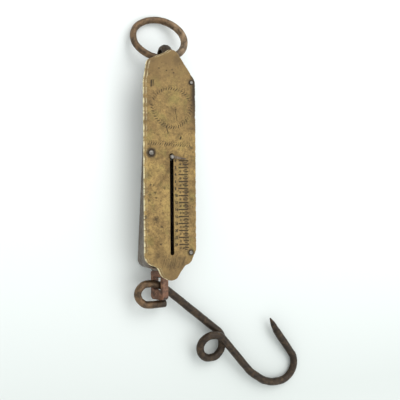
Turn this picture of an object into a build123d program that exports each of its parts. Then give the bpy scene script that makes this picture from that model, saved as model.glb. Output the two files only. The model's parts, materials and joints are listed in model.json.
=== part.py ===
from build123d import *
import math
import os

# Brass-faced spring balance, lying on its back. Millimetres.
# X runs across the face, Y along it towards the ring, Z out of the face.
# The origin is on the case's flat back, under the middle of the face.

# Face plate
PLATE_TOP_Z = 20.0
PLATE_THICKNESS = 1.0
PLATE_UNDER_Z = PLATE_TOP_Z - PLATE_THICKNESS
PLATE_HALF_WIDTH = 16.6
PLATE_SHOULDER_HIGH = 50.6
PLATE_SHOULDER_LOW = -49.0
SLOT_X = 1.0
SLOT_WIDTH = 2.3
SLOT_TOP = 8.6
SLOT_FOOT = -51.5

# Case: a tray pressed from tinned iron, tapered and set slightly askew of the face
SHEET = 0.8
CASE_TOP = 59.5
CASE_FOOT = -59.4
CASE_TOP_HALF_WIDTH = 8.3
CASE_FOOT_HALF_WIDTH = 11.0
CASE_TOP_X = 0.1
CASE_FOOT_X = -3.5
FOOT_CORNER = 5.0
TOP_CORNER = 2.6
BACK_CORNER = 2.4
FLANGE_HALF_WIDTH = 15.3

# Rivets through face and flange: place and head radius
FACE_RIVETS = [(13.9, 51.2, 1.2), (-11.9, 8.8, 1.65), (12.9, -50.2, 1.4)]
RIVET_RADIUS = 0.8
RIVET_TAIL_RADIUS = 1.0
RIVET_TAIL = 0.6

# Suspension lug and ring
LUG_X = 0.4
LUG_Y = 67.3
LUG_Z = 11.6
LUG_RADIUS = 6.8
LUG_HOLE_RADIUS = 3.8
LUG_WIDTH = 5.2
SHANK_RADIUS = 2.4
SHANK_END = 45.5
RING_WIRE_RADIUS = 2.2
RING_CENTRE = (-1.6, 78.6, 7.45)
RING_LONG = 15.8
RING_SHORT = 13.3
RING_END_RADIUS = 11.6
RING_NORMAL = (-0.131, 0.354, 0.926)
RING_LONG_AXIS = (0.975, -0.123, 0.185)

# Bridges that stiffen the two end walls
BRIDGE = 3.0
BRIDGE_HEIGHT = 13.5
BRIDGE_BASE_Z = 2.5
TOP_BRIDGE_HALF = 5.6
FOOT_BRIDGE_HALF = 5.8
END_RIVET_OFFSET = 4.0
END_RIVET_Z = 5.2
END_RIVET_HEAD = 1.4

# Draw rod and what it carries
ROD_X = -3.0
ROD_Z = 9.0
ROD_RADIUS = 2.2
ROD_TOP = 18.5
RUNNING_FIT = 0.07
SPIGOT_RADIUS = 1.5
SPIGOT_HEAD_RADIUS = 2.1
SPIGOT_HEAD = 0.5
INDEX_Y = 6.6
COLLAR = 4.4
COLLAR_RADIUS = 4.0
INDEX_ARM_TOP = 17.0
INDEX_ARM_WIDTH = 3.2
STUD_RADIUS = 0.75
STUD_TOP = PLATE_TOP_Z + 1.15
STUD_HEAD_RADIUS = 1.35
POINTER_GAP = 0.35
POINTER_THICKNESS = 0.6
POINTER_TIP = (9.9, 5.4)
POINTER_ROOT_HALF = 1.0
POINTER_TIP_HALF = 0.3

# Spring, closed at no load
SPRING_WIRE_RADIUS = 0.65
SPRING_RADIUS = 5.0
SPRING_PITCH = 1.42
SPRING_TOP = 48.0
SPRING_FOOT = 13.5
PLUG_FLANGE = 1.6
PLUG_FLANGE_RADIUS = 5.6
PLUG_BOSS_RADIUS = 3.4
PLUG_BOSS = 4.0
PLUG_GAP = 1.35

# Foot bush
BUSH_RADIUS = 3.6
BUSH_FLANGE_RADIUS = 4.9
BUSH_FLANGE = 1.4

# Swivel eye
EYE_TOP = -61.2
EYE_FOOT = -78.6
EYE_WIDTH = 11.2
EYE_THICKNESS = 4.5
EYE_TURN = 71.0
EYE_EDGE = 1.3
WINDOW_TOP = -64.8
WINDOW_FOOT_LEFT = -72.3
WINDOW_FOOT_RIGHT = -75.0
WINDOW_WIDTH = 6.8

# Hook: one wire, bent into an eye loop, a shank, a thumb ring and the hook
HOOK_WIRE_RADIUS = 2.35
HOOK_LOOP_CENTRE = (-10.1, -74.5, 9.2)
HOOK_TILT = 5.67
HOOK_TILT_TOWARDS = (0.845, -0.535)
LOOP = 6.5
LOOP_TOP = 5.75
LOOP_LEFT = 7.3
THUMB_X = 43.2
THUMB_Y = -36.2
THUMB_LONG = 8.7
THUMB_SHORT = 7.4
LAYER = 5.0
HOOK_TIP = (85.6, -21.7)
TIP_RADIUS = 0.3

MATERIAL_GAP = 0.1


def disc_y(x, z, radius, y_from, y_to):
    """A round bar along Y between two heights."""
    plane = Plane(origin=(x, y_from, z), x_dir=(1, 0, 0), z_dir=(0, 1, 0))
    return extrude(plane * Circle(radius), amount=y_to - y_from)


def disc_z(x, y, radius, z_from, z_to):
    """A round bar along Z between two levels."""
    return extrude(Plane.XY.offset(z_from) * Pos(x, y) * Circle(radius), amount=z_to - z_from)


def dome(x, y, radius, base_z, height):
    """A low rivet head: the cap of a sphere on a flat base."""
    sphere_radius = (radius ** 2 + height ** 2) / (2 * height)
    ball = Pos(x, y, base_z + height - sphere_radius) * Sphere(sphere_radius)
    keep = Pos(x, y, base_z + height) * Box(4 * radius, 4 * radius, 2 * height)
    return ball & keep


def tray(inset):
    """The pressed tray as a solid block; inset moves every wall inwards for the hollow."""
    foot, top = CASE_FOOT + inset, CASE_TOP - inset
    foot_half = CASE_FOOT_HALF_WIDTH - inset
    top_half = CASE_TOP_HALF_WIDTH - inset
    plan = Polyline(
        (CASE_FOOT_X - foot_half, foot),
        (CASE_FOOT_X + foot_half, foot),
        (CASE_TOP_X + top_half, top),
        (CASE_TOP_X - top_half, top),
        close=True,
    )
    height = PLATE_UNDER_Z - inset
    block = extrude(Plane.XY.offset(inset) * make_face(plan), amount=height)
    corners = block.edges().filter_by(Axis.Z).sort_by(Axis.Y)
    block = fillet(corners[:2], radius=FOOT_CORNER - inset)
    corners = block.edges().filter_by(Axis.Z).sort_by(Axis.Y)
    block = fillet(corners[-2:], radius=TOP_CORNER - inset)
    return fillet(block.edges().group_by(Axis.Z)[0], radius=BACK_CORNER - inset)


def back_case():
    flange_points = [
        (-FLANGE_HALF_WIDTH, PLATE_SHOULDER_LOW),
        (CASE_FOOT_X - CASE_FOOT_HALF_WIDTH, CASE_FOOT + FOOT_CORNER),
        (CASE_FOOT_X + CASE_FOOT_HALF_WIDTH, CASE_FOOT + FOOT_CORNER),
        (FLANGE_HALF_WIDTH, PLATE_SHOULDER_LOW),
        (FLANGE_HALF_WIDTH, PLATE_SHOULDER_HIGH),
        (CASE_TOP_HALF_WIDTH, CASE_TOP - TOP_CORNER),
        (CASE_TOP_X - CASE_TOP_HALF_WIDTH, CASE_TOP - TOP_CORNER),
        (-FLANGE_HALF_WIDTH, PLATE_SHOULDER_HIGH),
    ]
    flange_face = make_face(Polyline(*flange_points, close=True))
    flange = extrude(Plane.XY.offset(PLATE_UNDER_Z - SHEET) * flange_face, amount=SHEET)
    body = tray(0) + flange - tray(SHEET)
    body -= disc_y(LUG_X, LUG_Z, SHANK_RADIUS, CASE_TOP - 2, CASE_TOP + 2)
    body -= disc_y(ROD_X, ROD_Z, BUSH_RADIUS, CASE_FOOT - 2, CASE_FOOT + 2)
    for x, y, _ in FACE_RIVETS:
        body -= disc_z(x, y, RIVET_RADIUS, PLATE_UNDER_Z - 2 * SHEET, PLATE_UNDER_Z + SHEET)
    for x, _, _ in end_rivet_places():
        body -= disc_y(x, END_RIVET_Z, RIVET_RADIUS, CASE_TOP - 2, CASE_TOP + 2)
    return body


def plate_outline():
    """The face's edge: a bracket-shaped foot and a lopsided, chamfered head."""
    half = PLATE_HALF_WIDTH
    head = [
        Line((half, PLATE_SHOULDER_LOW), (half, PLATE_SHOULDER_HIGH)),
        RadiusArc((half, PLATE_SHOULDER_HIGH), (15.4, 53.8), -6),
        Line((15.4, 53.8), (5.6, 67.6)),
        ThreePointArc((5.6, 67.6), (1.4, 69.9), (-1.6, 69.0)),
        Line((-1.6, 69.0), (-2.9, 68.0)),
        Line((-2.9, 68.0), (-12.6, 63.6)),
        ThreePointArc((-12.6, 63.6), (-14.2, 62.2), (-14.8, 60.4)),
        Line((-14.8, 60.4), (-half, PLATE_SHOULDER_HIGH)),
        Line((-half, PLATE_SHOULDER_HIGH), (-half, PLATE_SHOULDER_LOW)),
    ]
    foot = [
        ThreePointArc((-half, PLATE_SHOULDER_LOW), (-15.3, -54.6), (-11.9, -57.2)),
        ThreePointArc((-11.9, -57.2), (-8.9, -58.6), (-7.5, -60.8)),
        ThreePointArc((-7.5, -60.8), (-5.8, -63.7), (-3.4, -65.2)),
        ThreePointArc((-3.4, -65.2), (0.8, -66.4), (4.3, -65.0)),
        Line((4.3, -65.0), (6.6, -61.3)),
        Line((6.6, -61.3), (9.7, -57.7)),
        ThreePointArc((9.7, -57.7), (12.6, -56.3), (14.3, -53.6)),
        Line((14.3, -53.6), (half, PLATE_SHOULDER_LOW)),
    ]
    return Wire(head + foot)


def face_plate():
    plate = extrude(Plane.XY.offset(PLATE_UNDER_Z) * make_face(plate_outline()), amount=PLATE_THICKNESS)
    slot_length = SLOT_TOP - SLOT_FOOT
    slot_face = Pos(SLOT_X, (SLOT_TOP + SLOT_FOOT) / 2) * Rot(0, 0, 90) * SlotOverall(slot_length, SLOT_WIDTH)
    plate -= extrude(Plane.XY.offset(PLATE_UNDER_Z - 1) * slot_face, amount=PLATE_THICKNESS + 2)
    for x, y, _ in FACE_RIVETS:
        plate -= disc_z(x, y, RIVET_RADIUS, PLATE_UNDER_Z - 1, PLATE_TOP_Z + 1)
    return plate


def face_rivets():
    """Shank through face and flange, domed head on the face, small tail below."""
    rivets = []
    flange_under = PLATE_UNDER_Z - SHEET
    for x, y, head in FACE_RIVETS:
        rivet = disc_z(x, y, RIVET_RADIUS, flange_under, PLATE_TOP_Z)
        rivet += dome(x, y, head, PLATE_TOP_Z, 0.55 * head)
        rivet += disc_z(x, y, RIVET_TAIL_RADIUS, flange_under - RIVET_TAIL, flange_under)
        rivets.append(rivet)
    return Compound(children=[r.solid() for r in rivets])


def bridge(middle_x, half, y_from, bores):
    """A flat iron bar across the inside of an end wall, with round bores along Y."""
    centre = (middle_x, y_from + BRIDGE / 2, BRIDGE_BASE_Z + BRIDGE_HEIGHT / 2)
    bar = Pos(*centre) * Box(2 * half, BRIDGE, BRIDGE_HEIGHT)
    bar = fillet(bar.edges().filter_by(Axis.Y), radius=1.5)
    for x, z, radius in bores:
        bar -= disc_y(x, z, radius, y_from - 1, y_from + BRIDGE + 1)
    return bar


def end_rivet_places():
    """Two rivets hold the top bridge to the end wall."""
    return [(CASE_TOP_X + side * END_RIVET_OFFSET, side, END_RIVET_Z) for side in (-1, 1)]


def top_bridge():
    bores = [(LUG_X, LUG_Z, SHANK_RADIUS)]
    bores += [(x, END_RIVET_Z, RIVET_RADIUS) for x, _, _ in end_rivet_places()]
    return bridge(CASE_TOP_X, TOP_BRIDGE_HALF, CASE_TOP - SHEET - BRIDGE, bores)


def foot_bridge():
    bores = [(ROD_X, ROD_Z, BUSH_RADIUS)]
    return bridge(CASE_FOOT_X, FOOT_BRIDGE_HALF, CASE_FOOT + SHEET, bores)


def bridge_rivets():
    rivets = []
    inner = CASE_TOP - SHEET - BRIDGE
    for x, _, z in end_rivet_places():
        rivet = disc_y(x, z, RIVET_RADIUS, inner - RIVET_TAIL, CASE_TOP + RIVET_TAIL)
        rivet += disc_y(x, z, END_RIVET_HEAD, CASE_TOP, CASE_TOP + RIVET_TAIL)
        rivet += disc_y(x, z, END_RIVET_HEAD, inner - RIVET_TAIL, inner)
        rivets.append(rivet)
    return Compound(children=[r.solid() for r in rivets])


def suspension_lug():
    """A flat forged eye on a round shank; its hole runs along X."""
    plane = Plane(origin=(LUG_X - LUG_WIDTH / 2, LUG_Y, LUG_Z), x_dir=(0, 1, 0), z_dir=(1, 0, 0))
    eye = extrude(plane * Circle(LUG_RADIUS), amount=LUG_WIDTH)
    eye += disc_y(LUG_X, LUG_Z, SHANK_RADIUS, SHANK_END, LUG_Y - LUG_HOLE_RADIUS - 1)
    eye -= extrude(plane.offset(-1) * Circle(LUG_HOLE_RADIUS), amount=LUG_WIDTH + 2)
    return eye


def lug_nut():
    """A square nut draws the lug down on the bridge."""
    under = CASE_TOP - SHEET - BRIDGE
    nut = Pos(LUG_X, under - 1.5, LUG_Z) * Box(7.6, 3.0, 7.6)
    return nut - disc_y(LUG_X, LUG_Z, SHANK_RADIUS, under - 5, under + 2)


def ring_path():
    """An oval of four tangent arcs, the mean line of the ring's wire."""
    reach = RING_LONG - RING_END_RADIUS
    drop = RING_SHORT - RING_END_RADIUS
    back = (reach ** 2 - drop ** 2) / (2 * drop)
    side_radius = RING_SHORT + back
    meet = math.degrees(math.atan2(back, reach))
    return Wire([
        CenterArc((reach, 0), RING_END_RADIUS, -meet, 2 * meet),
        CenterArc((0, -back), side_radius, meet, 180 - 2 * meet),
        CenterArc((-reach, 0), RING_END_RADIUS, 180 - meet, 2 * meet),
        CenterArc((0, back), side_radius, 180 + meet, 180 - 2 * meet),
    ])


def suspension_ring():
    plane = Plane(origin=RING_CENTRE, x_dir=RING_LONG_AXIS, z_dir=RING_NORMAL)
    path = ring_path()
    section = Plane(origin=path @ 0, z_dir=path % 0) * Circle(RING_WIRE_RADIUS)
    return plane * sweep(section, path=path)


def spring_line():
    """The spring leans from the lug's axis to the rod's."""
    top = Vector(LUG_X, SPRING_TOP, LUG_Z)
    foot = Vector(ROD_X, SPRING_FOOT, ROD_Z)
    return top, foot


def main_spring():
    top, foot = spring_line()
    length = (top - foot).length
    coil = Helix(pitch=SPRING_PITCH, height=length, radius=SPRING_RADIUS)
    section = Plane(origin=coil @ 0, z_dir=coil % 0) * Circle(SPRING_WIRE_RADIUS)
    spring = sweep(section, path=coil, is_frenet=True)
    return Plane(origin=foot, x_dir=(1, 0, 0), z_dir=top - foot) * spring


def spring_top_plug():
    """A collar on the lug's shank, with a boss inside the first coils."""
    flange_foot = SPRING_TOP + PLUG_GAP
    plug = disc_y(LUG_X, LUG_Z, PLUG_FLANGE_RADIUS, flange_foot, flange_foot + PLUG_FLANGE)
    plug += disc_y(LUG_X, LUG_Z, PLUG_BOSS_RADIUS, flange_foot - PLUG_BOSS, flange_foot)
    return plug - disc_y(LUG_X, LUG_Z, SHANK_RADIUS, SHANK_END - 5, flange_foot + 5)


def spring_foot_plug():
    """The same collar on the head of the draw rod."""
    flange_top = SPRING_FOOT - PLUG_GAP
    plug = disc_y(ROD_X, ROD_Z, PLUG_FLANGE_RADIUS, flange_top - PLUG_FLANGE, flange_top)
    plug += disc_y(ROD_X, ROD_Z, PLUG_BOSS_RADIUS, flange_top, flange_top + PLUG_BOSS)
    return plug - disc_y(ROD_X, ROD_Z, ROD_RADIUS, flange_top - 5, flange_top + PLUG_BOSS + 1)


def draw_rod():
    """The rod, its reduced spigot and the spigot's head, spread inside the eye."""
    shoulder = EYE_TOP + MATERIAL_GAP
    head_top = WINDOW_TOP - MATERIAL_GAP
    rod = disc_y(ROD_X, ROD_Z, ROD_RADIUS, shoulder, ROD_TOP)
    rod += disc_y(ROD_X, ROD_Z, SPIGOT_RADIUS, head_top, shoulder)
    rod += disc_y(ROD_X, ROD_Z, SPIGOT_HEAD_RADIUS, head_top - SPIGOT_HEAD, head_top)
    return rod


def index_bracket():
    """A collar on the rod with an arm that reaches up under the slot."""
    bracket = disc_y(ROD_X, ROD_Z, COLLAR_RADIUS, INDEX_Y - COLLAR / 2, INDEX_Y + COLLAR / 2)
    arm_left = SLOT_X - INDEX_ARM_WIDTH / 2
    arm_size = (INDEX_ARM_WIDTH, COLLAR, INDEX_ARM_TOP - ROD_Z)
    arm_centre = (arm_left + INDEX_ARM_WIDTH / 2, INDEX_Y, (INDEX_ARM_TOP + ROD_Z) / 2)
    bracket += Pos(*arm_centre) * Box(*arm_size)
    web = Pos((ROD_X + SLOT_X) / 2, INDEX_Y, ROD_Z + 2.4) * Box(SLOT_X - ROD_X, COLLAR, 3.2)
    bracket += web
    bracket -= disc_y(ROD_X, ROD_Z, ROD_RADIUS, INDEX_Y - COLLAR, INDEX_Y + COLLAR)
    bracket -= disc_z(SLOT_X, INDEX_Y, STUD_RADIUS, INDEX_ARM_TOP - 4, INDEX_ARM_TOP + 1)
    bracket -= disc_z(ROD_X, INDEX_Y, STUD_RADIUS, ROD_Z - COLLAR_RADIUS - 1, ROD_Z - ROD_RADIUS)
    return bracket


def bracket_pin():
    """A short pin that fixes the collar on the rod."""
    return disc_z(ROD_X, INDEX_Y, STUD_RADIUS, ROD_Z - COLLAR_RADIUS - 0.4, ROD_Z - ROD_RADIUS)


def pointer_stud():
    stud = disc_z(SLOT_X, INDEX_Y, STUD_RADIUS, INDEX_ARM_TOP - 4, STUD_TOP)
    head_base = PLATE_TOP_Z + POINTER_GAP + POINTER_THICKNESS
    return stud + dome(SLOT_X, INDEX_Y, STUD_HEAD_RADIUS, head_base, 0.8)


def pointer():
    """A tapered finger that lies just clear of the face."""
    base = PLATE_TOP_Z + POINTER_GAP
    tip_x, tip_y = POINTER_TIP
    outline = Polyline(
        (SLOT_X, INDEX_Y + POINTER_ROOT_HALF),
        (SLOT_X, INDEX_Y - POINTER_ROOT_HALF),
        (tip_x, tip_y - POINTER_TIP_HALF),
        (tip_x, tip_y + POINTER_TIP_HALF),
        close=True,
    )
    finger = extrude(Plane.XY.offset(base) * make_face(outline), amount=POINTER_THICKNESS)
    finger += disc_z(SLOT_X, INDEX_Y, STUD_HEAD_RADIUS, base, base + POINTER_THICKNESS)
    return finger - disc_z(SLOT_X, INDEX_Y, STUD_RADIUS, base - 1, base + 2)


def foot_bush():
    """The guide for the rod, flanged outside the case's foot."""
    inner = CASE_FOOT + SHEET + BRIDGE
    bush = disc_y(ROD_X, ROD_Z, BUSH_RADIUS, CASE_FOOT, inner)
    bush += disc_y(ROD_X, ROD_Z, BUSH_FLANGE_RADIUS, CASE_FOOT - BUSH_FLANGE, CASE_FOOT)
    return bush - disc_y(ROD_X, ROD_Z, ROD_RADIUS + RUNNING_FIT, CASE_FOOT - 3, inner + 1)


def eye_plane():
    """The eye's own frame: its width along local X, its length along local Y."""
    turn = math.radians(EYE_TURN)
    normal = (-math.sin(turn), 0, math.cos(turn))
    across = (math.cos(turn), 0, math.sin(turn))
    return Plane(origin=(ROD_X, 0, ROD_Z), x_dir=across, z_dir=normal)


def swivel_eye():
    length = EYE_TOP - EYE_FOOT
    body = Pos(0, (EYE_TOP + EYE_FOOT) / 2) * Box(EYE_WIDTH, length, EYE_THICKNESS)
    body = chamfer(body.edges().filter_by(Axis.Z), length=EYE_EDGE)
    side = EYE_THICKNESS / 2
    beyond = (WINDOW_FOOT_LEFT - WINDOW_FOOT_RIGHT) / 2
    profile = Polyline(
        (2 * side, WINDOW_TOP),
        (2 * side, WINDOW_FOOT_LEFT + beyond),
        (-2 * side, WINDOW_FOOT_RIGHT - beyond),
        (-2 * side, WINDOW_TOP),
        close=True,
    )
    plane = Plane(origin=(WINDOW_WIDTH / 2, 0, 0), x_dir=(0, 0, 1), z_dir=(-1, 0, 0))
    window = extrude(plane * make_face(profile), amount=WINDOW_WIDTH)
    body = eye_plane() * (body - window)
    return body - disc_y(ROD_X, ROD_Z, SPIGOT_RADIUS + RUNNING_FIT, WINDOW_TOP - 1, EYE_TOP + 1)


def hook_plane():
    """The hook's own frame, at the middle of its eye loop and tilted down to its bend."""
    tilt = math.radians(HOOK_TILT)
    lean_x = math.sin(tilt) * HOOK_TILT_TOWARDS[0]
    lean_y = math.sin(tilt) * HOOK_TILT_TOWARDS[1]
    normal = Vector(lean_x, lean_y, math.cos(tilt))
    across = Vector(normal.Z, 0, -normal.X).normalized()
    return Plane(origin=HOOK_LOOP_CENTRE, x_dir=across, z_dir=normal)


def hook_corners():
    """Corners of the wire's mean line, from its cut end to the point: x, y, layer, bend radius."""
    knee = LOOP * math.tan(math.radians(22.5))
    left, right = THUMB_X - THUMB_LONG, THUMB_X + THUMB_LONG
    low, high = THUMB_Y - THUMB_SHORT, THUMB_Y + THUMB_SHORT
    knee_x = 0.414 * THUMB_LONG
    knee_y = 0.414 * THUMB_SHORT
    bend = 7.0
    return [
        (11.4, -LOOP - 0.3, 0, 0),
        (3.0, -LOOP - 0.6, 0, 12.0),
        (-knee, -LOOP - 0.2, 0, 6.0),
        (-LOOP_LEFT, -knee, 0, 6.3),
        (-LOOP_LEFT, 2.2, 0, 5.8),
        (-3.4, LOOP_TOP, 0, 5.8),
        (2.6, LOOP_TOP, 0, 8.0),
        (8.6, 4.1, 0, 8.0),
        (right - 0.2, -29.6, 0, 6.5),
        (right, THUMB_Y - knee_y, 0.5, bend),
        (THUMB_X + knee_x, low, 1.1, bend),
        (THUMB_X - knee_x, low, 1.7, bend),
        (left, THUMB_Y - knee_y, 2.4, bend),
        (left, THUMB_Y + knee_y, 3.2, bend),
        (THUMB_X - knee_x, high, 4.1, bend),
        (47.3, high, LAYER, 8.0),
        (71.0, -55.3, LAYER, 20.0),
        (81.2, -62.2, LAYER, 14.0),
        (88.3, -64.4, LAYER, 14.0),
        (98.8, -64.4, LAYER, 11.8),
        (105.9, -57.6, LAYER, 10.5),
        (105.9, -49.6, LAYER, 10.0),
        (91.0, -30.5, LAYER, 0),
    ]


def load_hook():
    corners = hook_corners()
    points = [Vector(x, y, layer) for x, y, layer, _ in corners]
    radii = [radius for _, _, _, radius in corners[1:-1]]
    path = FilletPolyline(*points, radius=radii)
    section = Plane(origin=path @ 0, z_dir=path % 0) * Circle(HOOK_WIRE_RADIUS)
    wire = sweep(section, path=path)
    last = points[-1]
    point = Vector(*HOOK_TIP, LAYER)
    run = (point - last).length
    cone_plane = Plane(origin=last, z_dir=point - last)
    cone = cone_plane * Pos(0, 0, run / 2) * Cone(HOOK_WIRE_RADIUS, TIP_RADIUS, run)
    ball = Pos(*last) * Sphere(HOOK_WIRE_RADIUS)
    return hook_plane() * (wire + ball + cone)


PARTS = {
    "face_plate": face_plate,
    "back_case": back_case,
    "face_rivets": face_rivets,
    "top_bridge": top_bridge,
    "bridge_rivets": bridge_rivets,
    "suspension_lug": suspension_lug,
    "lug_nut": lug_nut,
    "suspension_ring": suspension_ring,
    "spring_top_plug": spring_top_plug,
    "main_spring": main_spring,
    "spring_foot_plug": spring_foot_plug,
    "draw_rod": draw_rod,
    "index_bracket": index_bracket,
    "bracket_pin": bracket_pin,
    "pointer_stud": pointer_stud,
    "pointer": pointer,
    "foot_bridge": foot_bridge,
    "foot_bush": foot_bush,
    "swivel_eye": swivel_eye,
    "load_hook": load_hook,
}

os.makedirs("parts", exist_ok=True)
for name, make in PARTS.items():
    export_step(make(), f"parts/{name}.step")
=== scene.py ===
import json
import math

import bmesh
import bpy
import numpy as np
from mathutils import Matrix, Vector, noise

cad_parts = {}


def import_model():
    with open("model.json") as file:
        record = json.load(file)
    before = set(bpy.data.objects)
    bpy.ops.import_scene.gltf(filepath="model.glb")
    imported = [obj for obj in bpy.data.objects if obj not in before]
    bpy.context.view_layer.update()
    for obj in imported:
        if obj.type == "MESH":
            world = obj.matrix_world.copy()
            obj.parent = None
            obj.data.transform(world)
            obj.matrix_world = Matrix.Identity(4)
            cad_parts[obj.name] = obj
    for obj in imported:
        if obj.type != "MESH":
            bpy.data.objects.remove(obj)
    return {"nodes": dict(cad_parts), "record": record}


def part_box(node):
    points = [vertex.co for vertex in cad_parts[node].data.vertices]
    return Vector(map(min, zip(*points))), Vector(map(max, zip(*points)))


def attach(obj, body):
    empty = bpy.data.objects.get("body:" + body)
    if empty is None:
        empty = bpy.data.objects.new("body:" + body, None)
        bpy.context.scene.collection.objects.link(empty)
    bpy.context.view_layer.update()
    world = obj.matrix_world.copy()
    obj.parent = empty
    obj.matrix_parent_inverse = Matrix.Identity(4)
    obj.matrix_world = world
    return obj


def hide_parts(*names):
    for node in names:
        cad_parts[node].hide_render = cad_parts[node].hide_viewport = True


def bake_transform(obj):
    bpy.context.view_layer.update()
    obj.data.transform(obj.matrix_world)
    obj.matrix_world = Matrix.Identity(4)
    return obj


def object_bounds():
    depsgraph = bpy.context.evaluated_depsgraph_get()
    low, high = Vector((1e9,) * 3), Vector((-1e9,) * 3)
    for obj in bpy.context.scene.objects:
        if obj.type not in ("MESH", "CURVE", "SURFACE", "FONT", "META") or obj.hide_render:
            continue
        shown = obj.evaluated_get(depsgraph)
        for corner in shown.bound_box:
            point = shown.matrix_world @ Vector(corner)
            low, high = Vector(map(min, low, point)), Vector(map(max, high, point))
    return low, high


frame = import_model()
cad_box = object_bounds()
MM = 0.001


# ---------- small helpers ----------

def linear(code):
    """A colour written as rrggbb, in linear light."""
    out = []
    for i in (0, 2, 4):
        c = int(code[i:i + 2], 16) / 255
        out.append(c / 12.92 if c <= 0.04045 else ((c + 0.055) / 1.055) ** 2.4)
    return (*out, 1.0)


def mesh_object(name, verts, faces, body, replaced):
    mesh = bpy.data.meshes.new(name)
    mesh.from_pydata([tuple(v) for v in verts], [], faces)
    mesh.update()
    obj = bpy.data.objects.new(name, mesh)
    bpy.context.scene.collection.objects.link(obj)
    return settle(obj, body, replaced)


def settle(obj, body, replaced):
    if body:
        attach(obj, body)
    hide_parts(*replaced)
    return obj


def node_copy(name, node):
    """A new object with a copy of a CAD node's mesh."""
    obj = bpy.data.objects.new(name, frame["nodes"][node].data.copy())
    obj.data.materials.clear()
    bpy.context.scene.collection.objects.link(obj)
    return obj


def smooth(obj):
    obj.data.polygons.foreach_set("use_smooth", [True] * len(obj.data.polygons))
    obj.data.update()


def fractal(points, scale, octaves, offset):
    """Fractal noise, about -1 to 1, at points in metres; scale is cycles per metre."""
    shift = Vector(offset)
    return np.array([noise.fractal(Vector(p) * scale + shift, 0.9, 2.1, octaves) for p in points])


def forge(name, node, body, voxel, rough, lumps, rounds, offset, regain=0.00007, swell=None):
    """A CAD node remade as worn iron: even mesh, softened edges, uneven hammered skin."""
    obj = node_copy(name, node)
    weld = bmesh.new()
    weld.from_mesh(obj.data)
    bmesh.ops.remove_doubles(weld, verts=weld.verts, dist=1e-6)
    weld.to_mesh(obj.data)
    weld.free()
    remesh = obj.modifiers.new("remesh", "REMESH")
    remesh.mode = "VOXEL"
    remesh.voxel_size = voxel
    ease = obj.modifiers.new("ease", "SMOOTH")
    ease.iterations = rounds
    ease.factor = 0.5
    graph = bpy.context.evaluated_depsgraph_get()
    made = bpy.data.meshes.new_from_object(obj.evaluated_get(graph))
    obj.modifiers.clear()
    obj.data = made
    obj.data.materials.clear()
    count = len(made.vertices)
    co = np.zeros(count * 3)
    normal = np.zeros(count * 3)
    made.vertices.foreach_get("co", co)
    made.vertices.foreach_get("normal", normal)
    co = co.reshape(-1, 3)
    normal = normal.reshape(-1, 3)
    push = fractal(co, lumps, 2, offset) * rough + fractal(co, lumps * 4.5, 3, offset) * rough * 0.35
    push = push - push.mean()
    if swell is not None:
        push = push + swell(co)
    co += normal * (push + regain)[:, None]
    made.vertices.foreach_set("co", co.ravel())
    smooth(obj)
    return settle(obj, body, [node])


# ---------- materials ----------

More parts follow.
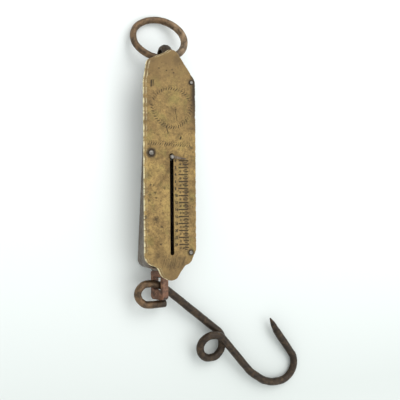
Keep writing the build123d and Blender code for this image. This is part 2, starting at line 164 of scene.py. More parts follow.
class Nodes:
    """A short way to lay out a material's nodes."""

    def __init__(self, name):
        self.material = bpy.data.materials.new(name)
        self.material.use_nodes = True
        self.tree = self.material.node_tree
        self.shader = self.tree.nodes["Principled BSDF"]
        self.coord = self.tree.nodes.new("ShaderNodeTexCoord").outputs["Object"]

    def link(self, a, b):
        self.tree.links.new(a, b)

    def noise(self, scale, detail=4.0, rough=0.55, distortion=0.0, stretch=None):
        n = self.tree.nodes.new("ShaderNodeTexNoise")
        n.inputs["Scale"].default_value = scale
        n.inputs["Detail"].default_value = detail
        n.inputs["Roughness"].default_value = rough
        n.inputs["Distortion"].default_value = distortion
        source = self.coord
        if stretch:
            m = self.tree.nodes.new("ShaderNodeMapping")
            m.inputs["Scale"].default_value = stretch
            self.link(self.coord, m.inputs["Vector"])
            source = m.outputs["Vector"]
        self.link(source, n.inputs["Vector"])
        return n.outputs["Fac"]

    def cells(self, scale):
        n = self.tree.nodes.new("ShaderNodeTexVoronoi")
        n.inputs["Scale"].default_value = scale
        self.link(self.coord, n.inputs["Vector"])
        return n.outputs["Distance"]

    def ramp(self, value, stops):
        n = self.tree.nodes.new("ShaderNodeValToRGB")
        ends = n.color_ramp.elements
        while len(ends) < len(stops):
            ends.new(0.5)
        for e, (at, colour) in zip(ends, stops):
            e.position = at
            e.color = colour if isinstance(colour, tuple) else (colour, colour, colour, 1)
        self.link(value, n.inputs["Fac"])
        return n.outputs["Color"]

    def mix(self, factor, a, b, kind="MIX"):
        n = self.tree.nodes.new("ShaderNodeMix")
        n.data_type = "RGBA"
        n.blend_type = kind
        for name, v in (("Factor", factor), ("A", a), ("B", b)):
            wanted = "VALUE" if name == "Factor" else "RGBA"
            socket = [s for s in n.inputs if s.name == name and s.type == wanted][0]
            if hasattr(v, "is_linked"):
                self.link(v, socket)
            else:
                socket.default_value = v
        return [s for s in n.outputs if s.type == "RGBA"][0]

    def math(self, kind, a, b):
        n = self.tree.nodes.new("ShaderNodeMath")
        n.operation = kind
        n.use_clamp = True
        for socket, v in zip(n.inputs, (a, b)):
            if hasattr(v, "is_linked"):
                self.link(v, socket)
            else:
                socket.default_value = v
        return n.outputs["Value"]

    def attribute(self, name):
        n = self.tree.nodes.new("ShaderNodeAttribute")
        n.attribute_name = name
        return n.outputs["Fac"]

    def place(self):
        """The point's X, Y and Z outputs, in metres."""
        n = self.tree.nodes.new("ShaderNodeSeparateXYZ")
        self.link(self.coord, n.inputs["Vector"])
        return n.outputs

    def finish(self, colour, roughness, bumps, metallic, specular=0.5):
        """bumps is a list of (height, distance in metres, strength)."""
        self.link(colour, self.shader.inputs["Base Color"])
        self.link(roughness, self.shader.inputs["Roughness"])
        if hasattr(metallic, "is_linked"):
            self.link(metallic, self.shader.inputs["Metallic"])
        else:
            self.shader.inputs["Metallic"].default_value = metallic
        self.shader.inputs["Specular IOR Level"].default_value = specular
        normal = None
        for height, distance, strength in bumps:
            n = self.tree.nodes.new("ShaderNodeBump")
            n.inputs["Distance"].default_value = distance
            n.inputs["Strength"].default_value = strength
            self.link(height, n.inputs["Height"])
            if normal:
                self.link(normal, n.inputs["Normal"])
            normal = n.outputs["Normal"]
        self.link(normal, self.shader.inputs["Normal"])
        return self.material


def brass(name):
    n = Nodes(name)
    cloud = n.ramp(n.noise(75, 6, 0.6, 0.4), [
        (0.34, linear("7d6238")), (0.45, linear("9c7f4d")),
        (0.55, linear("b3945a")), (0.68, linear("ab9256"))])
    grime = n.ramp(n.noise(34, 9, 0.72, 1.2), [(0.44, 0.0), (0.62, 1.0)])
    cloud = n.mix(n.math("MULTIPLY", grime, 0.35), cloud, linear("8a6f47"))
    mottle = n.ramp(n.noise(620, 9, 0.8, 0.2), [
        (0.38, linear("969696")), (0.50, linear("dedede")), (0.62, linear("ffffff"))])
    cloud = n.mix(0.9, cloud, mottle, "MULTIPLY")
    tarnish = n.ramp(n.noise(150, 9, 0.7, 0.8), [(0.50, 0.0), (0.62, 1.0)])
    colour = n.mix(n.math("MULTIPLY", tarnish, 0.35), cloud, linear("6f5636"))
    green = n.ramp(n.noise(110, 5, 0.6), [(0.54, 0.0), (0.70, 1.0)])
    colour = n.mix(n.math("MULTIPLY", green, 0.4), colour, linear("827d42"))
    speck = n.ramp(n.noise(900, 3, 0.6), [(0.60, 0.0), (0.70, 1.0)])
    colour = n.mix(n.math("MULTIPLY", speck, 0.6), colour, linear("4a3620"))
    ends = n.ramp(n.math("ABSOLUTE", n.place()["Y"], 0.0), [(0.045, 0.0), (0.062, 1.0)])
    colour = n.mix(n.math("MULTIPLY", ends, 0.72), colour, linear("715a39"))
    upper = n.math("MULTIPLY", n.math("SUBTRACT", n.place()["Y"], 0.008), 60.0)
    colour = n.mix(n.math("MULTIPLY", upper, 0.22), colour, linear("775f3a"))
    # Darkened by the face's stain layer: old stains, three darker round patches, the darker underside, and
    # painted shade down the upper right edge.
    colour = n.mix(n.math("MULTIPLY", n.attribute("stain_and_shade"), 0.92), colour, linear("2a1f14"))
    # Darkened in engraved strokes and pits, and along a line of painted shade inside the left edge, from the
    # groove layer.
    colour = n.mix(n.math("MULTIPLY", n.attribute("groove"), 0.95), colour, linear("1a1209"))
    # Painted highlight: the plate's edges lit bright cream, from the edge layer.
    colour = n.mix(n.attribute("edge"), colour, linear("f2e6bd"))
    streak = n.noise(500, 4, 0.6, 0.2, (1.0, 0.06, 1.0))
    rough = n.ramp(n.noise(300, 5, 0.6), [(0.3, 0.40), (0.7, 0.56)])
    bumps = [(n.noise(420, 5, 0.6), 0.00006, 0.6), (streak, 0.00003, 0.35), (n.cells(700), 0.00004, 0.25)]
    return n.finish(colour, rough, bumps, 0.5)


def tinned(name, top):
    """Dull grey sheet with patches of brown rust, turning dark brown towards the face."""
    n = Nodes(name)
    colour = n.ramp(n.noise(120, 6, 0.6, 0.5), [
        (0.30, linear("5c544c")), (0.50, linear("786f66")), (0.70, linear("8b847e"))])
    # Darker brown over the top 6 mm of the case, towards the face.
    near = n.math("MULTIPLY", n.math("SUBTRACT", n.place()["Z"], top - 0.006), 150.0)
    rust = n.ramp(n.noise(190, 7, 0.65, 0.6), [(0.52, 0.0), (0.66, 1.0)])
    brown_share = n.math("MAXIMUM", n.math("MULTIPLY", rust, 0.75), n.math("MULTIPLY", near, 0.8))
    colour = n.mix(brown_share, colour, n.ramp(n.noise(600, 4), [(0.3, linear("3a2819")), (0.7, linear("5f4632"))]))
    rough = n.ramp(n.noise(260, 5), [(0.3, 0.42), (0.7, 0.62)])
    bumps = [(n.noise(300, 6, 0.6), 0.00012, 0.6), (n.noise(60, 2), 0.0008, 0.35)]
    return n.finish(colour, rough, bumps, 0.45)


def iron(name, dark, mid, light, rust, share, metallic, rough_low, rough_high, rubbed=None, foot_shade_level=None):
    """Oxidised iron: mottled scale, rust in patches and rubbed lighter spots.

    rubbed is a lighter colour for the wire close to the balance, where hands have worn it.
    The last argument is the level, in metres, up to which the part's foot is darkened nearly to black:
    painted shade where it meets the face."""
    n = Nodes(name)
    colour = n.ramp(n.noise(330, 7, 0.65, 0.4), [
        (0.32, linear(dark)), (0.52, linear(mid)), (0.72, linear(light))])
    patch = n.ramp(n.noise(150, 6, 0.6, 0.8), [(0.62 - share, 0.0), (0.78 - share, 1.0)])
    colour = n.mix(n.math("MULTIPLY", patch, 0.8), colour, linear(rust))
    speck = n.ramp(n.noise(1500, 3, 0.6), [(0.58, 0.0), (0.70, 1.0)])
    colour = n.mix(n.math("MULTIPLY", speck, 0.4), colour, linear(dark))
    if rubbed:
        loop = n.math("MULTIPLY", n.math("SUBTRACT", -0.001, n.place()["X"]), 110.0)
        upper = n.math("MULTIPLY", n.math("SUBTRACT", n.place()["Y"], 0.074), 300.0)
        across = n.math("MAXIMUM", loop, upper)
        patchy = n.ramp(n.noise(260, 7, 0.7, 0.5), [(0.38, 0.1), (0.62, 0.75)])
        colour = n.mix(n.math("MULTIPLY", across, patchy), colour, linear(rubbed))
        # Lighter right of X 2 mm and above Y 62 mm, on the ring's right side.
        right = n.math("MULTIPLY", n.math("SUBTRACT", n.place()["X"], 0.002), 90.0)
        above = n.math("MULTIPLY", n.math("SUBTRACT", n.place()["Y"], 0.062), 300.0)
        right_side_lighter = n.math("MULTIPLY", n.math("MULTIPLY", right, above), 0.75)
        colour = n.mix(n.math("MULTIPLY", right_side_lighter, patchy), colour, linear("b09678"))
    # Painted shade: the foot of the part, where it meets the face, darkened nearly to black.
    if foot_shade_level:
        low = n.math("MULTIPLY", n.math("SUBTRACT", foot_shade_level + 0.0002, n.place()["Z"]), 4000.0)
        colour = n.mix(low, colour, linear("1d150e"))
    rough = n.ramp(n.noise(500, 5, 0.6), [(0.3, rough_low), (0.7, rough_high)])
    bumps = [(n.noise(900, 6, 0.65), 0.00012, 0.7), (n.cells(1100), 0.00006, 0.35)]
    return n.finish(colour, rough, bumps, metallic)


MATERIALS = {
    "brass_face": brass("aged_brass"),
    "pointer_brass": iron("pointer_metal", "3f342b", "65574a", "8f8174", "5c4732", 0.0, 0.6, 0.32, 0.5),
    "tinned_iron": tinned("tinned_sheet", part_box("back_case")[1].z),
    "rivet_iron": iron("rivet_metal", "5e5850", "8b857e", "b4afa8", "6a5745", -0.05, 0.75, 0.28, 0.45,
                       foot_shade_level=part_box("face_plate")[1].z + 0.0003),
    "forged_iron": iron("forged_wire", "221a15", "382c21", "584633", "4a3422", 0.06, 0.55, 0.32, 0.54,
                        rubbed="86694c"),
    "rusted_iron": iron("rusted_block", "35261f", "785543", "a37a5c", "85583e", 0.10, 0.35, 0.42, 0.62),
    "works_iron": iron("works_metal", "4b4640", "6e6860", "8a847c", "5c4632", -0.02, 0.65, 0.38, 0.55),
    "spring_steel": iron("spring_metal", "2f2d2b", "4b4846", "6b6866", "4a3a2c", -0.06, 0.8, 0.3, 0.45),
}


# ---------- face plate ----------

def top_loops(node):
    """The outline loops of a CAD node's top face, longest first, as arrays of segments."""
    mesh = frame["nodes"][node].data
    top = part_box(node)[1].z
    keys = [(round(v.co.x, 6), round(v.co.y, 6)) for v in mesh.vertices]
    high = [abs(v.co.z - top) < 1e-6 for v in mesh.vertices]
    counts = {}
    for p in mesh.polygons:
        if all(high[i] for i in p.vertices):
            ring = list(p.vertices)
            for a, b in zip(ring, ring[1:] + ring[:1]):
                pair = tuple(sorted((keys[a], keys[b])))
                counts[pair] = counts.get(pair, 0) + 1
    parent = {}

    def root(k):
        while parent.setdefault(k, k) != k:
            k = parent[k]
        return k

    edges = [pair for pair, c in counts.items() if c == 1]
    for a, b in edges:
        parent[root(a)] = root(b)
    groups = {}
    for a, b in edges:
        groups.setdefault(root(a), []).append((*a, *b))
    loops = [np.array(g) for g in groups.values()]
    return sorted(loops, key=lambda g: -np.ptp(g[:, [1, 3]]))


def span_at(loop, y):
    """The lowest and highest x where a loop crosses a level, or None."""
    x0, y0, x1, y1 = loop.T
    crosses = (np.minimum(y0, y1) <= y) & (np.maximum(y0, y1) > y)
    if not crosses.any():
        return None
    share = (y - y0[crosses]) / (y1[crosses] - y0[crosses])
    x = x0[crosses] + share * (x1[crosses] - x0[crosses])
    return x.min(), x.max()


OUTLINE, SLOT = top_loops("face_plate")[:2]
PLATE_LOW, PLATE_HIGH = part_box("face_plate")
SLOT_X = (SLOT[:, 0].min() + SLOT[:, 0].max()) / 2
SLOT_HEAD = SLOT[:, 1].max()

# Strokes of the digits in a box one wide and two high.
DIGITS = {
    "0": [(0, .4, 0, 1.6), (0, 1.6, .4, 2), (.4, 2, .8, 1.6), (.8, 1.6, .8, .4),
          (.8, .4, .4, 0), (.4, 0, 0, .4)],
    "1": [(.2, 1.6, .5, 2), (.5, 2, .5, 0)],
    "2": [(0, 1.6, .4, 2), (.4, 2, .8, 1.6), (.8, 1.6, .8, 1.2), (.8, 1.2, 0, 0), (0, 0, .9, 0)],
    "4": [(.7, 0, .7, 2), (.7, 2, 0, .7), (0, .7, 1, .7)],
    "5": [(.8, 2, .1, 2), (.1, 2, .1, 1.1), (.1, 1.1, .5, 1.3), (.5, 1.3, .9, .8),
          (.9, .8, .5, 0), (.5, 0, 0, .2)],
    "6": [(.7, 2, .1, 1), (.1, 1, .1, .3), (.1, .3, .4, 0), (.4, 0, .8, .4),
          (.8, .4, .4, 1), (.4, 1, .1, .8)],
    "8": [(.4, 1.1, .1, 1.5), (.1, 1.5, .4, 2), (.4, 2, .7, 1.5), (.7, 1.5, .4, 1.1), (.4, 1.1, 0, .5),
          (0, .5, .4, 0), (.4, 0, .8, .5), (.8, .5, .4, 1.1)],
}


def scale_strokes():
    """Divisions and numbers beside the slot: x0, y0, x1, y1, half width, depth, in mm."""
    rng = np.random.default_rng(11)
    first = SLOT_HEAD / MM - 4.2
    step = 2.07
    strokes = []
    for k in range(26):
        y = first - k * step
        lean = rng.normal(0, 0.07)
        left = 5.6 if k % 2 == 0 else 8.3
        strokes.append((left + rng.normal(0, 0.2), y - lean, 11.2 + rng.normal(0, 0.2), y + lean, 0.44, 0.16))
        strokes.append((9.2, y - 1.03, 10.6, y - 1.03, 0.34, 0.10))
        if k % 2 == 0:
            text = str(k)
            size = 0.72
            at = 3.0
            for c in text:
                for x0, y0, x1, y1 in DIGITS[c]:
                    start = (at + x0 * size, y - size + y0 * size)
                    end = (at + x1 * size, y - size + y1 * size)
                    strokes.append((*start, *end, 0.24, 0.11))
                at += 1.25 * size
        else:
            strokes.append((5.9, y, 6.9, y, 0.3, 0.1))
            strokes.append((6.4, y - 0.6, 6.4, y + 0.6, 0.24, 0.08))
    return strokes


def ornament_strokes():
    """Worn punch-work: bands of slanted rope strokes with dots beside them, nothing written."""
    rng = np.random.default_rng(5)
    marks = []

    def rope(x, y, turn):
        """One slanted stroke and the dot beyond it; turn is the direction the band runs in."""
        worn = 0.06 + 0.09 * rng.random()
        lean = turn + math.radians(62) + rng.normal(0, 0.05)
        half = 0.72 + rng.normal(0, 0.06)
        dx, dy = half * math.cos(lean), half * math.sin(lean)
        marks.append((x - dx, y - dy, x + dx, y + dy, 0.27, worn))
        ox, oy = -1.5 * math.sin(turn), 1.5 * math.cos(turn)
        marks.append((x + ox, y + oy, x + ox + 0.05, y + oy, 0.3, 0.04 + 0.07 * rng.random()))

    for k in range(19):
        a = math.radians(158 - 7.6 * k)
        rope(1.0 + 12.3 * math.cos(a), 36.5 + 10.3 * math.sin(a), a - math.pi / 2)
    for k in range(26):
        a = math.radians(186 + 6.9 * k)
        rope(1.2 + 12.6 * math.cos(a), 38.0 + 14.2 * math.sin(a), a + math.pi / 2)
    for k in range(19):
        rope(-13.2 + 1.42 * k, 14.4 - 0.07 * k, 0.0)
    for k in range(3):
        x, y = -6.6 + 4.6 * k, 58.4 - 1.1 * k
        marks.append((x, y, x + 0.05, y, 0.45, 0.12))
    for k in range(22):
        x, y = -4.0 + 0.62 * k, -51.5 - 4.5 * rng.random()
        marks.append((x, y, x - 1.3, y - 3.0 - 3.0 * rng.random(), 0.17, 0.03 + 0.05 * rng.random()))
    marks += [(-11.6, 47.6, -11.4, 51.0, 0.5, 0.2), (-10.4, 48.0, -10.2, 51.4, 0.25, 0.14),
              (-1.2, 20.4, -2.0, 23.6, 0.28, 0.16), (-2.0, 23.6, -2.5, 25.0, 0.2, 0.12),
              (6.7, 17.3, 7.0, 18.4, 0.5, 0.2), (4.6, 28.0, 3.6, 33.5, 0.2, 0.12)]
    return marks


def pits():
    """Round corrosion pits: x, y, radius, depth, in mm."""
    rng = np.random.default_rng(23)
    spots = [
        (-13.6, -19.0, 0.9, .12), (-9.0, -17.6, 0.6, .16), (-5.5, -34.6, 0.55, .22), (-3.6, -12.0, 0.7, .12),
        (-12.3, -9.8, 0.5, .2), (-12.8, -15.6, 0.7, .1), (-14.6, -37.0, 1.2, .08), (-9.6, -14.6, 0.8, .14)]
    for _ in range(70):
        place = (rng.uniform(-15, 15), rng.uniform(-55, 62))
        spots.append((*place, rng.uniform(0.15, 0.5), rng.uniform(0.04, 0.14)))
    return spots


# Old stains on the face: x, y, half width, half height in mm, strength.
STAINS = [
    (-13.3, 37.6, 2.5, 1.8, .45), (1.7, 34.2, 3.0, 3.0, .28), (-4.4, 24.8, 2.8, 3.4, .40),
    (-14.2, -4.2, 1.9, 3.2, .45), (-9.0, -30.2, 2.1, 1.7, .80), (-15.7, -28.9, 0.9, 1.3, .80),
    (-14.2, -33.2, 1.2, 1.2, .40), (-4.9, -26.8, 0.9, 0.9, .55), (-8.6, -51.1, 2.1, 2.3, .40),
    (-6.3, -44.7, 0.8, 0.8, .90), (13.5, 11.8, 1.4, 1.2, .80), (13.6, -17.8, 1.1, 1.3, .45),
    (5.4, 64.0, 3.5, 3.4, .35), (15.2, 39.3, 1.2, 1.4, .80), (-12.8, -10.2, 0.5, 0.5, .80),
    (-10.4, -10.0, 0.5, 0.5, .80), (0.5, -57.5, 3.4, 2.2, .30), (7.5, -53.5, 2.6, 1.8, .30),
    (10.5, 28.0, 2.4, 3.0, .22), (-10.5, 62.5, 2.2, 1.4, .30),
]


def stain_share(x, y):
    """How stained the face is at grids of x and y in mm, 0 to 1, with ragged borders."""
    out = np.zeros_like(x)
    for sx, sy, half_x, half_y, strength in STAINS:
        d = np.hypot((x - sx) / half_x, (y - sy) / half_y)
        near = d < 1.9
        places = zip(x[near], y[near])
        ragged = np.array([noise.fractal(Vector((a / 1.1, b / 1.1, sx)), 0.8, 2.1, 3) for a, b in places])
        out[near] = np.maximum(out[near], strength * np.clip(1.25 - d[near] + 0.55 * ragged, 0, 1))
    return out


def stroke_share(x, y, x0, y0, x1, y1, width):
    """1 on a stroke's line, falling to 0 at its half width, over grids of x and y in mm."""
    dx, dy = x1 - x0, y1 - y0
    t = np.clip(((x - x0) * dx + (y - y0) * dy) / (dx * dx + dy * dy), 0, 1)
    d = np.hypot(x - x0 - t * dx, y - y0 - t * dy)
    s = np.clip(1.35 - d / width, 0, 1)
    return s * s * (3 - 2 * s)


def face_relief(x, y):
    """Height and groove share of the face at grids of x and y in mm."""
    groove = np.zeros_like(x)
    height = np.zeros_like(x)
    for x0, y0, x1, y1, width, depth in scale_strokes() + ornament_strokes():
        reach = 1.5 * width
        near = ((x > min(x0, x1) - reach) & (x < max(x0, x1) + reach)
                & (y > min(y0, y1) - reach) & (y < max(y0, y1) + reach))
        if near.any():
            share = stroke_share(x[near], y[near], x0, y0, x1, y1, width)
            groove[near] = np.maximum(groove[near], share * min(1.0, depth / 0.11))
            height[near] = np.minimum(height[near], -share * depth)
    for px, py, radius, depth in pits():
        near = (abs(x - px) < radius * 2) & (abs(y - py) < radius * 2)
        if near.any():
            wobble = 0.25 * np.sin(3 * np.arctan2(y[near] - py, x[near] - px) + px)
            d = np.hypot(x[near] - px, y[near] - py) / radius + wobble
            share = np.clip(1.3 - d, 0, 1)
            height[near] -= share * depth
            groove[near] = np.maximum(groove[near], share * min(1.0, depth / 0.16))
    return height, groove


def face_rows():
    """Levels down the face in mm, closest along the divisions."""
    low, high = PLATE_LOW.y / MM, PLATE_HIGH.y / MM
    bands = [(low + 0.01, -52.0, 0.4), (-52.0, 9.0, 0.17), (9.0, 60.0, 0.3), (60.0, high - 0.01, 0.3)]
    rows = []
    for a, b, step in bands:
        rows.extend(np.linspace(a, b, max(2, int((b - a) / step)), endpoint=False))
    return np.array(rows + [high - 0.01])


# Edge profile, from under the rim inwards: inset and drop in mm.
RIM = [(0.10, 0.98), (0.0, 0.80), (0.0, 0.34), (0.06, 0.14), (0.2, 0.04), (0.42, 0.0)]
LIP = [(0.3, 0.0), (0.12, 0.03), (0.03, 0.12), (0.0, 0.3), (0.0, 0.98)]


def chip(level):
    """How strongly the edge's painted highlight and painted shade line show, where they sit and how deep the
    dip beside them is, at a level of the face in mm, about -1 to 1.
    """
    long_wave = noise.noise(Vector((level / 3.1, 2.0, 0.0)))
    return long_wave + 0.7 * noise.noise(Vector((level / 0.9, 4.0, 0.0)))


def face_plate():
    """The face as one closed sheet: a grid each side of the slot, with its relief, rim and underside."""
    rows = face_rows()
    left_inner = np.linspace(0, 1, 52)[1:-1]
    band_low, band_high, right = 2.7, 11.9, PLATE_HIGH.x / MM
    start = SLOT[:, 0].max() / MM
    steps = np.concatenate([
        np.linspace(start, band_low, 3, endpoint=False), np.arange(band_low, band_high, 0.17),
        np.linspace(band_high, right, 18)])
    right_inner = (steps[2:-2] - start) / (right - start)
    grids = {"left": [], "right": []}
    under = {"left": [], "right": []}
    slot_x = SLOT_X / MM
    for y in rows:
        span = span_at(OUTLINE, y * MM)
        x0, x1 = span[0] / MM, span[1] / MM
        ragged = noise.noise(Vector((y / 2.3, 0.0, 5.5))) + 0.6 * noise.noise(Vector((y / 0.9, 0.0, 1.5)))
        x1 -= 0.22 * max(0.0, 0.3 + ragged) * min(1.0, (x1 - x0) / 6)
        cut = span_at(SLOT, y * MM)
        half = (cut[1] - cut[0]) / 2 / MM if cut else 0.0
        for side, edge, inner in (("left", x0, left_inner), ("right", x1, right_inner)):
            sign = 1 if side == "left" else -1
            stop = min(max(slot_x, x0), x1) - sign * half
            width = abs(stop - edge)
            fit = min(1.0, width / 1.2)
            line = [(edge + sign * inset * fit, -drop) for inset, drop in RIM]
            a = edge + sign * RIM[-1][0] * fit
            b = stop - sign * (LIP[0][0] * fit if half else 0.0)
            share = inner if side == "left" else 1 - inner[::-1]
            line += [(a + (b - a) * s, 0.0) for s in share]
            lip = min(1.0, half / 0.5)
            line += [(stop - sign * inset * fit * lip, -drop * (1.0 if half else 0.0)) for inset, drop in LIP]
            grids[side].append(line)
            under[side].append([line[0][0], stop])
    verts, faces = [], []
    groove_and_shade_all, edge_highlight_all, stain_and_shade_all = [], [], []
    for side in ("left", "right"):
        g = np.array(grids[side])
        x = g[:, :, 0]
        y = np.repeat(rows[:, None], x.shape[1], axis=1)
        relief, groove = face_relief(x, y)
        flat = np.clip(1 + g[:, :, 1] / 0.2, 0, 1)
        wave = np.array([[noise.noise(Vector((a / 14, b / 17, 3.1))) * 0.05
                          + noise.noise(Vector((a / 4.1, b / 5.2, 7.7))) * 0.02 for a, b in zip(ra, rb)]
                         for ra, rb in zip(x, y)])
        first = len(verts)
        nrow, ncol = x.shape
        inset = abs(x - x[:, :1])
        # Painted highlight: the plate's thickness at the edge is lit cream bright, weaker on the right,
        # varying along the edge.
        rim = np.zeros_like(x)
        rim[:, 1:5] = (0.9, 1.0, 0.95, 0.5)
        edge_wobble = np.array([chip(level) for level in rows])[:, None]
        rim *= np.clip(0.75 + 1.3 * edge_wobble, 0.1, 1)
        if side == "right":
            rim *= 0.3
        else:
            # Left edge, fading out towards the bottom: painted shade as a dark line 1 mm in, where the edge
            # bends down, a painted highlight as a light line 1.7 mm in, a painted highlight close to the
            # edge, and a shallow dip 1 mm in.
            fade = np.clip((y - 5) / 30, 0.35, 1) * flat * np.clip(0.6 + 1.4 * edge_wobble, 0, 1)
            groove = np.maximum(groove, fade * 0.5 * np.exp(-((inset - 1.0 - 0.2 * edge_wobble) / 0.3) ** 2))
            rim = np.maximum(rim, fade * 0.4 * np.exp(-((inset - 1.7 - 0.3 * edge_wobble) / 0.3) ** 2))
            shine = np.clip(0.35 + 1.6 * edge_wobble, 0, 1) * np.clip((62 - y) / 20, 0, 1) * flat
            rim = np.maximum(rim, shine * 0.85 * np.exp(-((inset - 0.25) / 0.3) ** 2))
            relief = relief - fade * 0.1 * np.exp(-((inset - 1.0) / 0.4) ** 2)
        z = PLATE_HIGH.z / MM + g[:, :, 1] + flat * (relief + wave - 0.05)
        verts.extend(np.stack([x.ravel(), y.ravel(), z.ravel()], 1) * MM)
        groove_and_shade_all.extend((groove * flat).ravel())
        edge_highlight_all.extend(rim.ravel())
        # Painted shade down the right edge above Y 20 mm, where the edge turns down away from the light; also
        # three darker round patches near the edges.
        stain_and_shade = np.clip((x - 12.6) / 2.5, 0, 1) * np.clip((y - 20) / 20, 0, 1)
        stain_and_shade = np.maximum(stain_and_shade, np.clip(3.0 - np.hypot(x + 11.9, y - 8.8) / 1.2, 0, 1))
        stain_and_shade = np.maximum(stain_and_shade, np.clip(2.1 - np.hypot(x - 12.9, y + 50.2) / 1.3, 0, 1))
        stain_and_shade = np.maximum(stain_and_shade, np.clip(2.1 - np.hypot(x - 13.9, y - 51.2) / 1.2, 0, 1))
        stain_and_shade_all.extend(np.maximum(stain_and_shade, stain_share(x, y)).ravel())
        for i in range(nrow - 1):
            for j in range(ncol - 1):
                a = first + i * ncol + j
                quad = (a, a + 1, a + ncol + 1, a + ncol)
                faces.append(quad if side == "left" else quad[::-1])
        first = len(verts)
        # The rim's underside: no grooves or highlight, and darkened at 0.4.
        for y_row, (xa, xb) in zip(rows, under[side]):
            for xx in (xa, xb):
                verts.append(Vector((xx, y_row, PLATE_HIGH.z / MM - 0.98)) * MM)
                groove_and_shade_all.append(0)
                edge_highlight_all.append(0)
                stain_and_shade_all.append(0.4)
        for i in range(nrow - 1):
            a = first + 2 * i
            quad = (a, a + 2, a + 3, a + 1)
            faces.append(quad if side == "left" else quad[::-1])
    obj = mesh_object("face_plate_brass", verts, faces, "case", ["face_plate"])
    for name, values in (("groove", groove_and_shade_all), ("edge", edge_highlight_all), ("stain_and_shade", stain_and_shade_all)):
        layer = obj.data.attributes.new(name, "FLOAT", "POINT")
        layer.data.foreach_set("value", np.array(values, np.float32))
    tidy = bmesh.new()
    tidy.from_mesh(obj.data)
    bmesh.ops.remove_doubles(tidy, verts=tidy.verts, dist=4e-6)
    bmesh.ops.dissolve_degenerate(tidy, edges=tidy.edges, dist=1e-6)
    bmesh.ops.holes_fill(tidy, edges=tidy.edges, sides=8)
    bmesh.ops.recalc_face_normals(tidy, faces=tidy.faces)
    tidy.to_mesh(obj.data)
    tidy.free()
    smooth(obj)
    obj.data.materials.append(MATERIALS["brass_face"])
    return obj


# ---------- build ----------

face_plate()


def hook_swell(co):
    """The wire was drawn down at the eye loop and left full at the bend."""
    along = np.interp(co[:, 0] / MM, [-18, 0, 20, 60, 80, 98], [-0.22, -0.10, 0.0, 0.03, 0.08, -0.02])
    right = co[co[:, 0] > 0.06]
    tip = right[right[:, 1].argmax()]
    from_tip = np.linalg.norm(co - tip, axis=1) / MM
    full = 0.32 * np.exp(-((from_tip - 4.5) / 2.6) ** 2)
    return (along + full - 0.16 * np.exp(-((from_tip - 10.5) / 3.0) ** 2)) * MM


def ring_swell(co):
    """The ring's wire has worn thinner, most on its left."""
    return np.interp(co[:, 0] / MM, [-18, 0, 14], [-0.30, -0.20, -0.06]) * MM


def lug_swell(co):
    """The lug was hammered up round from a bar."""
    return np.full(len(co), 0.0001)


def round_rim(piece):
    """The lug's rim rounded over, as a forged eye is."""
    low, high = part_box("suspension_lug")
    centre = Vector(((low.x + high.x) / 2, high.y - (high.z - low.z) / 2, (low.z + high.z) / 2))
    outer = (high.z - low.z) / 2
    band = outer * 0.45
    for v in piece.data.vertices:
        if v.co.y < centre.y - outer * 0.4:
            continue
        past = math.hypot(v.co.y - centre.y, v.co.z - centre.z) - (outer - band)
        share = min(1.0, max(0.0, past / band))
        v.co.x = centre.x + (v.co.x - centre.x) * (1.22 - 0.75 * share ** 3)


for name, node, body, slot_name, voxel, rough, lumps, rounds, offset, swell in [
    ("suspension_ring_iron", "suspension_ring", "ring", "forged_iron",
     0.00033, 0.00011, 210, 2, (3, 1, 7), ring_swell),
    ("suspension_lug_iron", "suspension_lug", "case", "forged_iron",
     0.00030, 0.00014, 260, 12, (9, 4, 2), lug_swell),
    ("swivel_eye_iron", "swivel_eye", "swivel", "rusted_iron", 0.00024, 0.00014, 300, 4, (5, 8, 1), None),
    ("load_hook_iron", "load_hook", "hook", "forged_iron", 0.00036, 0.00012, 200, 2, (2, 6, 4), hook_swell),
    ("rivets_face", "face_rivets", "case", "rivet_iron", 0.00011, 0.00006, 700, 2, (1, 1, 9), None),
    ("pointer_finger", "pointer", "draw", "pointer_brass", 0.00010, 0.00004, 500, 1, (4, 4, 4), None),
    ("pointer_stud_iron", "pointer_stud", "draw", "rivet_iron", 0.00010, 0.00004, 600, 1, (6, 2, 5), None),
    ("draw_rod_iron", "draw_rod", "draw", "works_iron", 0.00026, 0.00003, 300, 1, (7, 3, 3), None),
]:
    piece = forge(name, node, body, voxel, rough, lumps, rounds, offset,
                  0.00007 if voxel > 0.0003 else 0.00003, swell)
    if node == "suspension_lug":
        round_rim(piece)
    piece.data.materials.append(MATERIALS[slot_name])


# The spring in mm, from the lug's axis down to the rod's, and how finely its tube is divided.
SPRING_TOP = Vector((0.4, 48.0, 11.6))
SPRING_FOOT = Vector((-3.0, 13.5, 9.0))
SPRING_RADIUS = 5.0
SPRING_PITCH = 1.42
SPRING_WIRE_RADIUS = 0.65
WIRE_SIDES = 12
RINGS_PER_TURN = 40


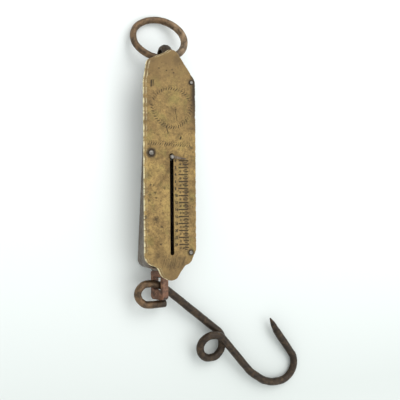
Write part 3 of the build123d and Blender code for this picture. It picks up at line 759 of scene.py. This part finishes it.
def coil():
    """The drawn spring: a tube of wire wound from the top plug down to the foot plug."""
    top, foot = SPRING_TOP, SPRING_FOOT
    radius, pitch, wire = SPRING_RADIUS, SPRING_PITCH, SPRING_WIRE_RADIUS
    around, along = WIRE_SIDES, RINGS_PER_TURN
    axis = (foot - top).normalized()
    side = axis.cross(Vector((0, 0, 1))).normalized()
    other = axis.cross(side)
    turns = (foot - top).length / pitch
    rings = int(turns * along)
    verts, faces = [], []
    for i in range(rings + 1):
        share = i / rings
        angle = 2 * math.pi * turns * share
        out = math.cos(angle) * side + math.sin(angle) * other
        middle = top + (foot - top) * share + radius * out
        for j in range(around):
            b = 2 * math.pi * j / around
            verts.append((middle + wire * (math.cos(b) * out + math.sin(b) * axis)) * MM)
    for i in range(rings):
        for j in range(around):
            a, b = i * around + j, i * around + (j + 1) % around
            faces.append((a, b, b + around, a + around))
    faces.append(tuple(range(around))[::-1])
    faces.append(tuple(rings * around + j for j in range(around)))
    mesh = bpy.data.meshes.new("main_spring_coil")
    mesh.from_pydata([tuple(v) for v in verts], [], faces)
    mesh.update()
    obj = bpy.data.objects.new("main_spring_coil", mesh)
    bpy.context.scene.collection.objects.link(obj)
    return obj


spring = coil()
smooth(spring)
spring.data.materials.append(MATERIALS["spring_steel"])
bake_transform(spring)
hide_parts("main_spring")

SLOT_OF = {row["node"]: row["material_slot"] for row in frame["record"]["subparts"]}
for node, obj in frame["nodes"].items():
    obj.data.materials.clear()
    obj.data.materials.append(MATERIALS[SLOT_OF[node]])


# ---------- floor, light, camera ----------

def floor():
    mesh = bpy.data.meshes.new("floor")
    size, centre = 3.0, (cad_box[0] + cad_box[1]) / 2
    mesh.from_pydata([(centre.x + size * a, centre.y + size * b, cad_box[0].z - 0.0001)
                      for a, b in ((-1, -1), (1, -1), (1, 1), (-1, 1))], [], [(0, 1, 2, 3)])
    obj = bpy.data.objects.new("floor", mesh)
    bpy.context.scene.collection.objects.link(obj)
    n = Nodes("pale_table")
    colour = n.ramp(n.noise(3, 2), [(0.3, linear("f0f3f3")), (0.7, linear("f5f8f8"))])
    # Painted shade: the table darkens towards the near side, below Y 20 mm, standing in for the light falling
    # off.
    near = n.math("MULTIPLY", n.math("SUBTRACT", 0.02, n.place()["Y"]), 6.0)
    colour = n.mix(near, colour, linear("d6dad8"))
    rough = n.ramp(n.noise(5, 2), [(0.3, 0.75), (0.7, 0.8)])
    n.finish(colour, rough, [(n.noise(400, 2), 0.00002, 0.1)], 0.0, 0.2)
    mesh.materials.append(n.material)


def lamp(name, place, aim, size, power, colour):
    data = bpy.data.lights.new(name, "AREA")
    data.shape = "DISK"
    data.size = size
    data.energy = power
    data.color = colour
    obj = bpy.data.objects.new(name, data)
    obj.location = place
    obj.rotation_euler = (Vector(aim) - Vector(place)).to_track_quat("-Z", "Y").to_euler()
    bpy.context.scene.collection.objects.link(obj)


def world():
    w = bpy.data.worlds.new("studio")
    w.use_nodes = True
    back = w.node_tree.nodes["Background"]
    back.inputs["Color"].default_value = (0.965, 1.0, 0.985, 1)
    back.inputs["Strength"].default_value = 1.0
    bpy.context.scene.world = w


CAMERA_PLACE = Vector((-0.15699, -0.01898, 0.39771))
CAMERA_TURN = math.radians(25)
CAMERA_ROLL = math.radians(-0.45)
CAMERA_LENS = 62.45


def camera():
    """Looks down on the face from its left, 25 degrees off square."""
    turn, roll = CAMERA_TURN, CAMERA_ROLL
    back = Vector((-math.sin(turn), 0, math.cos(turn)))
    side = Vector((math.cos(turn), 0, math.sin(turn)))
    right = math.cos(roll) * side + math.sin(roll) * Vector((0, 1, 0))
    up = -math.sin(roll) * side + math.cos(roll) * Vector((0, 1, 0))
    data = bpy.data.cameras.new("camera")
    data.lens = CAMERA_LENS
    data.sensor_width = 36
    data.clip_start = 0.01
    obj = bpy.data.objects.new("camera", data)
    turn_matrix = Matrix((right, up, back)).transposed().to_4x4()
    obj.matrix_world = Matrix.Translation(CAMERA_PLACE) @ turn_matrix
    bpy.context.scene.collection.objects.link(obj)
    bpy.context.scene.camera = obj


bpy.context.scene.view_settings.view_transform = "Standard"
floor()
world()
lamp("key", (0.30, 0.70, 0.95), (0.03, 0.02, 0.0), 0.9, 4.6, (1.0, 0.995, 0.985))
lamp("fill", (0.6, -0.3, 0.8), (0.03, -0.02, 0.0), 0.8, 1.5, (0.95, 0.98, 1.0))
camera()
